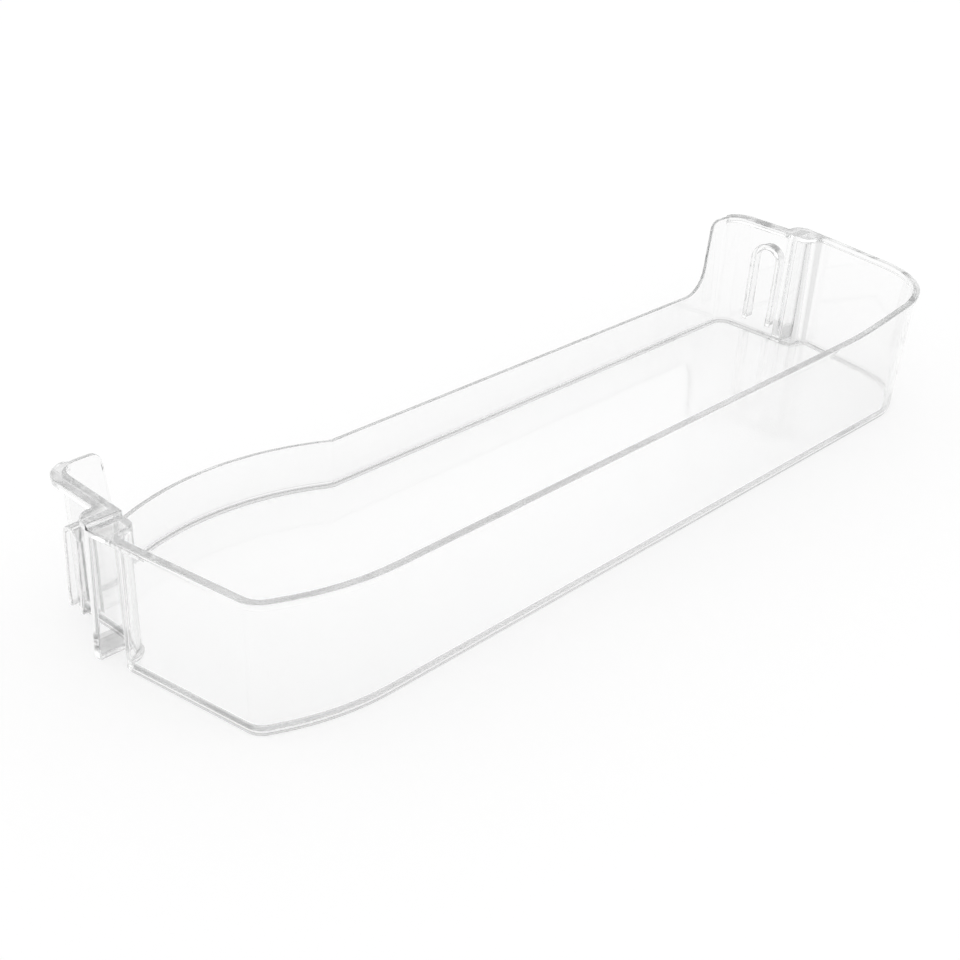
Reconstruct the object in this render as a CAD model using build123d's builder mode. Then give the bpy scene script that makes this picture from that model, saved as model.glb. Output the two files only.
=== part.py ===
"""Clear moulded fridge door shelf: one long tray with hanging features at both ends."""
import os
from math import radians, tan

from build123d import *

# Walls, and the floor raised on a foot rim
wall = 2.0
floor_thickness = 1.6
draft_angle = 1.5
floor_radius = 1.4
foot_height = 1.4
foot_width = 2.2
foot_radius = 0.8

# Plan at the underside: X runs along the door, the front faces -Y, the door is on the +Y side
base_length = 434.4
tray_depth = 122.0
end_taper_angle = 9.6
corner_radius = 40.0
bevel_depth = 12.5
bevel_angle = 25.0
bevel_radius = 100.0
bevel_corner_radius = 8.0

# Deeper bay of the back wall, near the left end
bay_gap = 19.2
bay_length = 109.0
bay_depth = 13.4
bay_left_blend_radius = 14.0
bay_right_blend_radius = 5.0

# Heights above the underside
front_height = 54.5
right_height = 60.5
left_ear_height = 56.5
back_height = 23.0
sweep_gap = 25.2
sweep_length = 70.0

# Rim along the front and the ends
rim_height = 3.0
rim_lip = 1.3

# Raised back corners (ears), set in from the front parts of the end walls
ear_inset = 12.0
ear_corner_radius = 8.0
ear_lip = 4.4
ear_width = 18.0
ear_lean = 5.0
ear_top_radius = 5.0
left_ear_foot_radius = 6.0
right_ear_foot_radius = 14.0

# Slide groove between the step of each end wall and a guide bar, bridged by a ledge at the rim
groove_front = 75.0
groove_width = 7.5
groove_radius = 1.8
bar_thickness = 5.0
step_inside_radius = 2.6
ledge_overhang = 0.6
ledge_corner_radius = 3.5
ledge_inside_radius = 1.0

# Arched hanger ribs on the outside of the ears
hanger_leg = 2.0
hanger_reach = 7.0
hanger_foot = 7.0
left_hanger_middle = 105.5
left_hanger_width = 9.5
left_hanger_top = 42.0
right_hanger_middle = 99.0
right_hanger_width = 17.0
right_hanger_top = 50.0

# Worked out from the sizes above
lean = tan(radians(draft_angle))
floor_top = foot_height + floor_thickness
taper = tan(radians(end_taper_angle))
rim_reach = rim_lip + front_height * lean
front_y = (rim_reach - tray_depth - bay_depth - back_height * lean) / 2
back_y = front_y + tray_depth
groove_y = front_y + groove_front
bar_y = groove_y + groove_width
bar_back_y = bar_y + bar_thickness
ledge_y = bar_back_y + ledge_overhang
half_length = base_length / 2
ear_x = half_length - ear_inset
ear_top_x = ear_x - ear_width
ear_foot_x = ear_top_x - ear_lean
bay_left_x = bay_gap - ear_x
bay_right_x = bay_left_x + bay_length
sweep_end_x = half_length - sweep_gap
sweep_start_x = sweep_end_x - sweep_length
rim_fade_x = ear_x - ear_corner_radius
rim_ear_x = ear_x + ear_lip
clear_height = max(front_height, right_height) + rim_height
clear_lean = clear_height * lean
clear_length = half_length + clear_height
clear_depth = tray_depth + bay_depth + clear_height
rim_inset_radius = ledge_inside_radius + rim_lip + clear_lean
split_y = bar_y


def end_x(y):
    """Outer face of an end wall's front part, at that depth."""
    return half_length - (ledge_y - y) * taper


def footprint(step_y, step_radius, inset_x, inset_radius):
    """Plan of the outer face, with the end walls stepping in to inset_x at step_y."""
    bevel_y = front_y + bevel_depth
    bevel_corner = (-end_x(bevel_y), bevel_y)
    bevel_start = (bevel_depth / tan(radians(bevel_angle)) - end_x(bevel_y), front_y)
    front_corner = (end_x(front_y), front_y)
    steps = [(side * end_x(step_y), step_y) for side in (1, -1)]
    insets = [(side * inset_x, step_y) for side in (1, -1)]
    ears = [(side * inset_x, back_y) for side in (1, -1)]
    bay = [(bay_right_x, back_y), (bay_left_x, back_y)]
    with BuildSketch() as plan:
        with BuildLine():
            Polyline(bevel_start, front_corner, steps[0], insets[0], ears[0], bay[0])
            SagittaArc(bay[0], bay[1], -bay_depth)
            Polyline(bay[1], ears[1], insets[1], steps[1], bevel_corner, bevel_start)
        make_face()
        rounds = [(bevel_start, bevel_radius), (front_corner, corner_radius)]
        rounds += [(bevel_corner, bevel_corner_radius)]
        rounds += [(point, ear_corner_radius) for point in ears]
        rounds += [(bay[0], bay_right_blend_radius), (bay[1], bay_left_blend_radius)]
        rounds += [(point, step_radius) for point in steps]
        rounds += [(point, inset_radius) for point in insets]
        for point, radius in rounds:
            fillet(plan.vertices().sort_by_distance(point)[0], radius)
    return plan.sketch


def front_region(drop, level):
    """Elevation between the front's top line, lowered by drop, and a level line."""
    left = (-clear_length, front_height - drop)
    rise = (sweep_start_x, front_height - drop)
    crest = (sweep_end_x, right_height - drop)
    right = (clear_length, right_height - drop)
    with BuildSketch(Plane.XZ.offset(-split_y)) as region:
        with BuildLine():
            Line(left, rise)
            Spline(rise, crest, tangents=((1, 0), (1, 0)))
            Polyline(crest, right, (clear_length, level), (-clear_length, level), left)
        make_face()
    return region.sketch


def rear_region(drop, level):
    """Elevation between the top line of the back wall and ears, lowered by drop, and a level line."""
    left = (-clear_length, left_ear_height - drop)
    right = (clear_length, right_height - drop)
    with BuildSketch(Plane.XZ.offset(-split_y)) as region:
        with BuildLine():
            FilletPolyline(
                left,
                (-ear_top_x, left_ear_height - drop),
                (-ear_foot_x, back_height - drop),
                (ear_foot_x, back_height - drop),
                (ear_top_x, right_height - drop),
                right,
                radius=[ear_top_radius, left_ear_foot_radius, right_ear_foot_radius, ear_top_radius],
            )
            Polyline(right, (clear_length, level), (-clear_length, level), left)
        make_face()
    return region.sketch


def trim(drop, level):
    """Cuts away what lies between the lowered top line and a level line, front and rear."""
    extrude(front_region(drop, level), amount=clear_depth, mode=Mode.SUBTRACT)
    extrude(rear_region(drop, level), amount=-clear_depth, mode=Mode.SUBTRACT)


def hanger(side, middle, width, top):
    """Arched rib standing out from one ear, open at its foot."""
    spring = top - width / 2
    with BuildSketch(Plane.YZ.offset(side * (ear_x - wall / 2))) as rib:
        with Locations((front_y + middle, spring)):
            for radius, mode in ((width / 2, Mode.ADD), (width / 2 - hanger_leg, Mode.SUBTRACT)):
                Circle(radius, mode=mode)
                Rectangle(2 * radius, spring - hanger_foot, align=(Align.CENTER, Align.MAX), mode=mode)
    extrude(rib.sketch, amount=side * (hanger_reach + wall / 2))


tray_plan = footprint(groove_y, wall + step_inside_radius, ear_x, groove_radius + clear_lean)
ledge_plan = footprint(ledge_y, ledge_corner_radius, rim_ear_x - rim_lip, rim_inset_radius)

# Guide bars: upright slices of the ledge's form behind each groove
with BuildPart() as bars:
    with BuildSketch():
        add(ledge_plan)
        offset(amount=front_height * lean)
    extrude(amount=clear_height)
    with BuildSketch():
        Rectangle(2 * ear_x - wall, 2 * clear_depth)
        with Locations((0, bar_y)):
            Rectangle(2 * clear_length, clear_depth, align=(Align.CENTER, Align.MAX))
        with Locations((0, bar_back_y)):
            Rectangle(2 * clear_length, clear_depth, align=(Align.CENTER, Align.MIN))
    extrude(amount=clear_height, mode=Mode.SUBTRACT)

# Rim: a lip round the front and the ends, bridging each groove as a ledge and fading out on the ears
with BuildPart() as rim:
    with BuildSketch():
        add(ledge_plan)
        offset(amount=rim_lip)
    extrude(amount=clear_height, taper=-draft_angle)
    trim(rim_height, -clear_height)
    with BuildSketch():
        with BuildLine():
            Polyline(
                (-clear_length, clear_depth),
                (-rim_ear_x - ear_lip, back_y + 2 * ear_lip),
                (-rim_fade_x, back_y),
                (-rim_fade_x, split_y),
                (rim_fade_x, split_y),
                (rim_fade_x, back_y),
                (rim_ear_x + ear_lip, back_y + 2 * ear_lip),
                (clear_length, clear_depth),
                close=True,
            )
        make_face()
    extrude(amount=clear_height, mode=Mode.SUBTRACT)

# Hollow of the tray
with BuildPart() as hollow:
    with BuildSketch(Plane.XY.offset(floor_top)):
        add(tray_plan)
        offset(amount=floor_top * lean - wall, mode=Mode.REPLACE)
    extrude(amount=clear_height, taper=-draft_angle)
    fillet(hollow.edges().group_by(Axis.Z)[0], floor_radius)

# Shallow space under the floor, inside the foot rim
with BuildPart() as recess:
    with BuildSketch():
        add(tray_plan)
        offset(amount=-foot_width, mode=Mode.REPLACE)
    extrude(amount=foot_height, taper=draft_angle)

with BuildPart() as door_shelf:
    add(tray_plan)
    extrude(amount=clear_height, taper=-draft_angle)
    fillet(door_shelf.edges().group_by(Axis.Z)[0], foot_radius)
    add(bars.part)
    add(rim.part)
    trim(0, clear_height)
    hanger(-1, left_hanger_middle, left_hanger_width, left_hanger_top)
    hanger(1, right_hanger_middle, right_hanger_width, right_hanger_top)
    add(hollow.part, mode=Mode.SUBTRACT)
    add(recess.part, mode=Mode.SUBTRACT)

os.makedirs("parts", exist_ok=True)
door_shelf.part.label = "door_shelf"
export_step(door_shelf.part, "parts/door_shelf.step")
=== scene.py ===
"""Clear moulded fridge door shelf on a white studio floor."""
from math import radians

import bpy
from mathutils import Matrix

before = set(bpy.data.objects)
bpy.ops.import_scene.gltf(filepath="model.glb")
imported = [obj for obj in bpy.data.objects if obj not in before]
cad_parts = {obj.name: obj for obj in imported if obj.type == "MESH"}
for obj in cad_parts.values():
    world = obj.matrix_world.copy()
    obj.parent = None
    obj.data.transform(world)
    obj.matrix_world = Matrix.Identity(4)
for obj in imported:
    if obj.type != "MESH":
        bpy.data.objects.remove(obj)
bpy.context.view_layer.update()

scene = bpy.context.scene

# Heights on the moulding, in metres; the line of painted shade round the floor is a little narrower than
# its band
foot_high = 0.0006
floor_top = 0.003
floor_band = 0.0005
floor_edge_high = floor_top + floor_band
floor_line_z = floor_top + floor_band / 2
floor_line_reach = floor_band / 2.1
rim_low = 0.012

# Ends of the moulding: raised corners, guide bars, ledges and hangers
ear_outside = 0.2066
bar_y = 0.0155
ledge_y = 0.0215
fitting_x = 0.199
fitting_y = 0.023
fitting_reach = 0.023
fitting_foot = 0.009
right_corner_x = 0.17
ear_slant_x = 0.1845
ear_slant_reach = 0.009

# Edges that turn further than this are rounded above one height and kept crisp below the other
sharp_turn = radians(40)
rounded_low = 0.006
crisp_high = 0.002
edge_width = 0.0006
edge_segments = 3

# Points nearer than these are joined before and after the rounding; flatter turns count as flat
joined_gap = 0.00001
closed_gap = 0.000005
flat_turn = radians(0.3)

# Clear styrene: refraction, colour of its depth, noise patterns, flow waves and dullness of the floor
refraction = 1.57
depth_colour = (0.83, 0.855, 0.85, 1.0)
depth_density = 2.0
haze_noise = {"Scale": 38.0, "Detail": 4.0, "Roughness": 0.6}
flow_noise = {"Scale": 22.0, "Detail": 1.0}
streak_noise = {"Scale": 80.0, "Detail": 3.0, "Roughness": 0.6}
flow_strength = 0.12
flow_height = 0.0004
floor_dullness = 0.11

# Ranges of the material: a value going from the first number to the second gives the third to the fourth
polish_range = (0.3, 0.75, 0.02, 0.09)
# painted shade: the plastic's colour greys a little towards the right end
painted_shade_across_range = (-0.05, 0.2, 1.0, 0.96)
upward_range = (0.6, 0.95, 0.0, 1.0)
patchy_range = (0.38, 0.62, 0.45, 1.0)
# part of the streak noise that becomes painted dark streaks
accent_range = (0.55, 0.64, 0.0, 1.0)
# the rims' painted shade fades towards the left end
rightward_range = (-0.15, 0.2, 0.58, 1.0)
far_y_range = (-0.045, -0.03, 0.0, 1.0)
far_x_range = (-0.19, -0.17, 0.0, 1.0)
back_y_range = (0.022, 0.03, 0.0, 1.0)
rounded_range = (0.88, 0.97, 1.0, 0.0)
endward_range = (0.75, 0.9, 0.0, 1.0)

# Painted shade: greys laid on the plastic in place of shade, on the back wall, edges and ends
# painted shade greying the back wall
back_wall_painted_shade = 0.955
# painted shade on the rim tops
rim_painted_shade = 0.48
# painted shade on the ears' lips
lip_painted_shade = 0.36
# painted shade on the slanted walls of the ears
ear_slant_painted_shade = 0.5
# painted shade along the floor's edge line
floor_line_painted_shade = 0.72
# painted shadow on the foot, where it meets the floor
foot_painted_shadow = 0.4
# painted shade on the rounded edges of the end fittings
fitting_painted_shade = 0.8
# painted shadow at the feet of the end fittings
fitting_foot_painted_shadow = 0.55
# painted dark streaks of shade at the ends
accent_painted_shade = 0.2

# Studio floor: its own light, that light as seen through the plastic, its paint, size and place
floor_glow = 0.75
through_glow = 0.77
floor_paint = 0.24
floor_half = 6.0
floor_z = -0.0002

# Light of the room, from the horizon to overhead
sky_levels = ((0.0, 0.6), (0.12, 0.7), (0.35, 1.4), (0.55, 1.4), (0.75, 0.9), (1.0, 0.9))
light_bounces = 128

# Camera fitted to the photo
camera_lens = 56.256
camera_sensor = 36.0
camera_clip = 0.01
camera_place = (-0.44553, -0.36453, 0.32184)
camera_turn = (radians(60.4858), radians(-3.1015), radians(-46.0827))


def grey(level):
    """An opaque grey."""
    return (level, level, level, 1.0)


def add_node(tree, kind, **values):
    """Makes a node and sets its properties, or its input sockets where no property has that name."""
    node = tree.nodes.new(kind)
    for name, value in values.items():
        if hasattr(node, name):
            setattr(node, name, value)
        else:
            node.inputs[name.replace("_", " ")].default_value = value
    return node


def math_node(tree, operation, *terms):
    """A math node's result; each term is a number or another node's output."""
    node = add_node(tree, "ShaderNodeMath", operation=operation)
    for socket, term in zip(node.inputs, terms):
        if isinstance(term, bpy.types.NodeSocket):
            tree.links.new(term, socket)
        else:
            socket.default_value = term
    return node.outputs[0]


def above(tree, value, limit):
    """One where a value is over a limit, and zero elsewhere."""
    return math_node(tree, "GREATER_THAN", value, limit)


def below(tree, value, limit):
    """One where a value is under a limit, and zero elsewhere."""
    return math_node(tree, "LESS_THAN", value, limit)


def near(tree, value, middle, reach):
    """One where a value is within reach of the middle, and zero elsewhere."""
    return math_node(tree, "COMPARE", value, middle, reach)


def product(tree, result, *factors):
    """Several values multiplied together."""
    for factor in factors:
        result = math_node(tree, "MULTIPLY", result, factor)
    return result


def largest(tree, result, *others):
    """The largest of several values."""
    for other in others:
        result = math_node(tree, "MAXIMUM", result, other)
    return result


def spread(tree, value, limits):
    """Maps a value by one of the ranges above, and holds it at the range's ends."""
    node = add_node(tree, "ShaderNodeMapRange")
    for socket, number in zip(node.inputs[1:5], limits):
        socket.default_value = number
    tree.links.new(value, node.inputs["Value"])
    return node.outputs["Result"]


def split(tree, vector):
    """The three parts of a vector."""
    node = add_node(tree, "ShaderNodeSeparateXYZ")
    tree.links.new(vector, node.inputs["Vector"])
    return node.outputs


def noise(tree, place, settings):
    """A noise pattern laid through the moulding."""
    node = add_node(tree, "ShaderNodeTexNoise", **settings)
    tree.links.new(place, node.inputs["Vector"])
    return node.outputs["Fac"]


def painted_shade_over(tree, colour, amount, shade_grey):
    """A node's colour going over to a grey of painted shade by an amount."""
    node = add_node(tree, "ShaderNodeMix", data_type="RGBA")
    tree.links.new(amount, node.inputs["Factor"])
    tree.links.new(colour, node.inputs["A"])
    node.inputs["B"].default_value = grey(shade_grey)
    return node.outputs["Result"]


def new_material(name):
    """An empty node material with its output node."""
    material = bpy.data.materials.new(name)
    material.use_nodes = True
    material.node_tree.nodes.clear()
    return material, material.node_tree, material.node_tree.nodes.new("ShaderNodeOutputMaterial")


def painted_shades(tree, x, y, z, streaks):
    """Where shade is painted on the plastic as grey, with the grey of each place, in the order they are
    laid on.
    """
    slopes = split(tree, add_node(tree, "ShaderNodeNewGeometry").outputs["Normal"])
    along_x, along_y, along_z = [math_node(tree, "ABSOLUTE", slope) for slope in slopes]
    across = math_node(tree, "ABSOLUTE", x)
    upward = spread(tree, slopes["Z"], upward_range)
    patchy = spread(tree, streaks, patchy_range)
    outside_ears = above(tree, across, ear_outside)
    behind_ledge = above(tree, y, ledge_y)

    # painted shade on the back wall above the floor
    back_wall = product(tree, spread(tree, y, back_y_range), above(tree, z, floor_edge_high))
    sideways = spread(tree, along_x, endward_range)
    # painted shade on the sideways-facing slanted walls of the ears
    ear_slant = product(tree, near(tree, across, ear_slant_x, ear_slant_reach), back_wall, sideways)

    lip = product(tree, outside_ears, behind_ledge)
    # painted shade on the tops of the ears' lips, in patches
    ear_lip = product(tree, upward, lip, patchy)
    off_lip = math_node(tree, "SUBTRACT", 1.0, lip)
    wall_top = product(tree, above(tree, z, rim_low), off_lip)
    # painted shade on the rim tops, in patches, stronger towards the right
    rim = product(tree, upward, wall_top, patchy, spread(tree, x, rightward_range))

    far_side = product(tree, spread(tree, y, far_y_range), spread(tree, x, far_x_range))
    # painted shade along the floor's edge line, away from the front and the left end
    floor_edge = product(tree, near(tree, z, floor_line_z, floor_line_reach), far_side)
    # painted shadow on the foot of the moulding
    foot = below(tree, z, foot_high)

    rounded = spread(tree, largest(tree, along_x, along_y, along_z), rounded_range)
    at_fittings = product(tree, above(tree, across, fitting_x), near(tree, y, fitting_y, fitting_reach))
    # painted shade on the rounded edges of the end fittings
    fitting = product(tree, rounded, at_fittings)
    # painted shadow at the feet of the end fittings, in patches
    fitting_feet = product(tree, below(tree, z, fitting_foot), patchy, outside_ears, above(tree, y, bar_y))

    arch = product(tree, fitting, behind_ledge)
    right_rim = product(tree, rim, above(tree, x, right_corner_x))
    # painted dark streaks of shade on the arches, ear lips and right rim
    accents = product(tree, largest(tree, arch, ear_lip, right_rim), spread(tree, streaks, accent_range))
    return (
        (back_wall, back_wall_painted_shade),
        (rim, rim_painted_shade),
        (ear_lip, lip_painted_shade),
        (ear_slant, ear_slant_painted_shade),
        (floor_edge, floor_line_painted_shade),
        (foot, foot_painted_shadow),
        (fitting, fitting_painted_shade),
        (fitting_feet, fitting_foot_painted_shadow),
        (accents, accent_painted_shade),
    )


def clear_plastic():
    """Clear styrene: faintly wavy and hazy, with a duller floor, and with painted shade greying its edges,
    ends and back wall and a little towards the right end.
    """
    material, tree, output = new_material("clear_plastic")
    link = tree.links.new
    place = add_node(tree, "ShaderNodeTexCoord").outputs["Object"]
    x, y, z = split(tree, place)
    bump = add_node(tree, "ShaderNodeBump", Strength=flow_strength, Distance=flow_height)
    plastic = add_node(tree, "ShaderNodeBsdfPrincipled", IOR=refraction, Transmission_Weight=1.0)
    depth = add_node(tree, "ShaderNodeVolumeAbsorption", Color=depth_colour, Density=depth_density)

    polish = spread(tree, noise(tree, place, haze_noise), polish_range)
    dullness = product(tree, below(tree, z, floor_edge_high), floor_dullness)
    # painted shade: the colour greys a little towards the right end
    colour = spread(tree, x, painted_shade_across_range)
    # each grey of painted shade is laid over the colour in turn
    for amount, shade_grey in painted_shades(tree, x, y, z, noise(tree, place, streak_noise)):
        colour = painted_shade_over(tree, colour, amount, shade_grey)

    link(noise(tree, place, flow_noise), bump.inputs["Height"])
    link(bump.outputs["Normal"], plastic.inputs["Normal"])
    link(colour, plastic.inputs["Base Color"])
    link(largest(tree, polish, dullness), plastic.inputs["Roughness"])
    link(plastic.outputs["BSDF"], output.inputs["Surface"])
    link(depth.outputs["Volume"], output.inputs["Volume"])
    return material


def white_floor():
    """Matt white sweep that stays white to the camera and through the plastic, and keeps the shadow."""
    material, tree, output = new_material("studio_floor")
    material.cycles.emission_sampling = "NONE"
    link = tree.links.new
    rays = add_node(tree, "ShaderNodeLightPath").outputs
    through = largest(tree, rays["Is Transmission Ray"], rays["Is Glossy Ray"])
    seen_level = product(tree, rays["Is Camera Ray"], floor_glow)
    through_level = product(tree, through, through_glow)
    paint = add_node(tree, "ShaderNodeBsdfDiffuse", Color=grey(floor_paint))
    glow = add_node(tree, "ShaderNodeEmission")
    both = add_node(tree, "ShaderNodeAddShader")
    link(largest(tree, seen_level, through_level), glow.inputs["Strength"])
    link(paint.outputs[0], both.inputs[0])
    link(glow.outputs[0], both.inputs[1])
    link(both.outputs[0], output.inputs["Surface"])
    return material


def studio_world():
    """Soft room: grey at the horizon, brightest about a third of the way up, and white to the camera."""
    world = bpy.data.worlds.new("studio")
    world.use_nodes = True
    tree = world.node_tree
    tree.nodes.clear()
    link = tree.links.new
    output = add_node(tree, "ShaderNodeOutputWorld")
    direction = add_node(tree, "ShaderNodeTexCoord").outputs["Generated"]
    ramp = add_node(tree, "ShaderNodeValToRGB")
    for at, _ in sky_levels[1:-1]:
        ramp.color_ramp.elements.new(at)
    for element, (at, level) in zip(ramp.color_ramp.elements, sky_levels):
        element.position = at
        element.color = grey(level)
    room = add_node(tree, "ShaderNodeBackground")
    backdrop = add_node(tree, "ShaderNodeBackground", Color=grey(1.0))
    seen = add_node(tree, "ShaderNodeMixShader")
    link(split(tree, direction)["Z"], ramp.inputs["Fac"])
    link(ramp.outputs["Color"], room.inputs["Color"])
    link(add_node(tree, "ShaderNodeLightPath").outputs["Is Camera Ray"], seen.inputs[0])
    link(room.outputs[0], seen.inputs[1])
    link(backdrop.outputs[0], seen.inputs[2])
    link(seen.outputs[0], output.inputs["Surface"])
    return world


def rounded_edges():
    """Node group that weights the sharp edges to be rounded and keeps those of the foot crisp."""
    group = bpy.data.node_groups.new("rounded_edges", "GeometryNodeTree")
    for way in ("INPUT", "OUTPUT"):
        group.interface.new_socket("Geometry", in_out=way, socket_type="NodeSocketGeometry")
    link = group.links.new
    mesh_in = add_node(group, "NodeGroupInput").outputs[0]
    mesh_out = add_node(group, "NodeGroupOutput").inputs[0]
    turn = add_node(group, "GeometryNodeInputMeshEdgeAngle").outputs["Unsigned Angle"]
    height = split(group, add_node(group, "GeometryNodeInputPosition").outputs["Position"])["Z"]
    store = add_node(group, "GeometryNodeStoreNamedAttribute", data_type="FLOAT", domain="EDGE")
    store.inputs["Name"].default_value = "bevel_weight_edge"
    crisp = add_node(group, "GeometryNodeSetShadeSmooth", domain="EDGE", Shade_Smooth=False)
    sharp = above(group, turn, sharp_turn)
    link(mesh_in, store.inputs["Geometry"])
    link(product(group, sharp, above(group, height, rounded_low)), store.inputs["Value"])
    link(store.outputs["Geometry"], crisp.inputs["Geometry"])
    link(product(group, sharp, below(group, height, crisp_high)), crisp.inputs["Selection"])
    link(crisp.outputs["Geometry"], mesh_out)
    return group


def soften_edges(moulding):
    """Rounds the sharp edges of the moulding, by modifiers alone."""
    join = moulding.modifiers.new("joined_faces", "WELD")
    join.merge_threshold = joined_gap
    merge = moulding.modifiers.new("flat_faces", "DECIMATE")
    merge.decimate_type = "DISSOLVE"
    merge.angle_limit = flat_turn
    choose = moulding.modifiers.new("edge_choice", "NODES")
    choose.node_group = rounded_edges()
    soften = moulding.modifiers.new("soft_edges", "BEVEL")
    soften.width = edge_width
    soften.segments = edge_segments
    soften.limit_method = "WEIGHT"
    soften.use_clamp_overlap = False
    soften.loop_slide = False
    close = moulding.modifiers.new("closed_edges", "WELD")
    close.merge_threshold = closed_gap
    weigh = moulding.modifiers.new("true_normals", "WEIGHTED_NORMAL")
    weigh.keep_sharp = True


def studio_floor():
    """Wide floor, a hair below the foot of the moulding."""
    mesh = bpy.data.meshes.new("floor")
    signs = ((-1, -1), (1, -1), (1, 1), (-1, 1))
    corners = [(along * floor_half, deep * floor_half, 0.0) for along, deep in signs]
    mesh.from_pydata(corners, [], [(0, 1, 2, 3)])
    mesh.materials.append(white_floor())
    plane = bpy.data.objects.new("floor", mesh)
    plane.location.z = floor_z
    scene.collection.objects.link(plane)
    return plane


def photo_camera():
    """Camera at the place the photo was taken from."""
    data = bpy.data.cameras.new("camera")
    data.lens = camera_lens
    data.sensor_width = camera_sensor
    data.clip_start = camera_clip
    camera = bpy.data.objects.new("camera", data)
    camera.location = camera_place
    camera.rotation_euler = camera_turn
    scene.collection.objects.link(camera)
    return camera


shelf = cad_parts["door_shelf"]
shelf.data.materials.clear()
shelf.data.materials.append(clear_plastic())
shelf.data.polygons.foreach_set("use_smooth", [True] * len(shelf.data.polygons))
soften_edges(shelf)

floor = studio_floor()

scene.world = studio_world()
scene.camera = photo_camera()
scene.cycles.max_bounces = light_bounces
scene.cycles.transmission_bounces = light_bounces
scene.cycles.glossy_bounces = light_bounces
scene.view_settings.view_transform = "Standard"
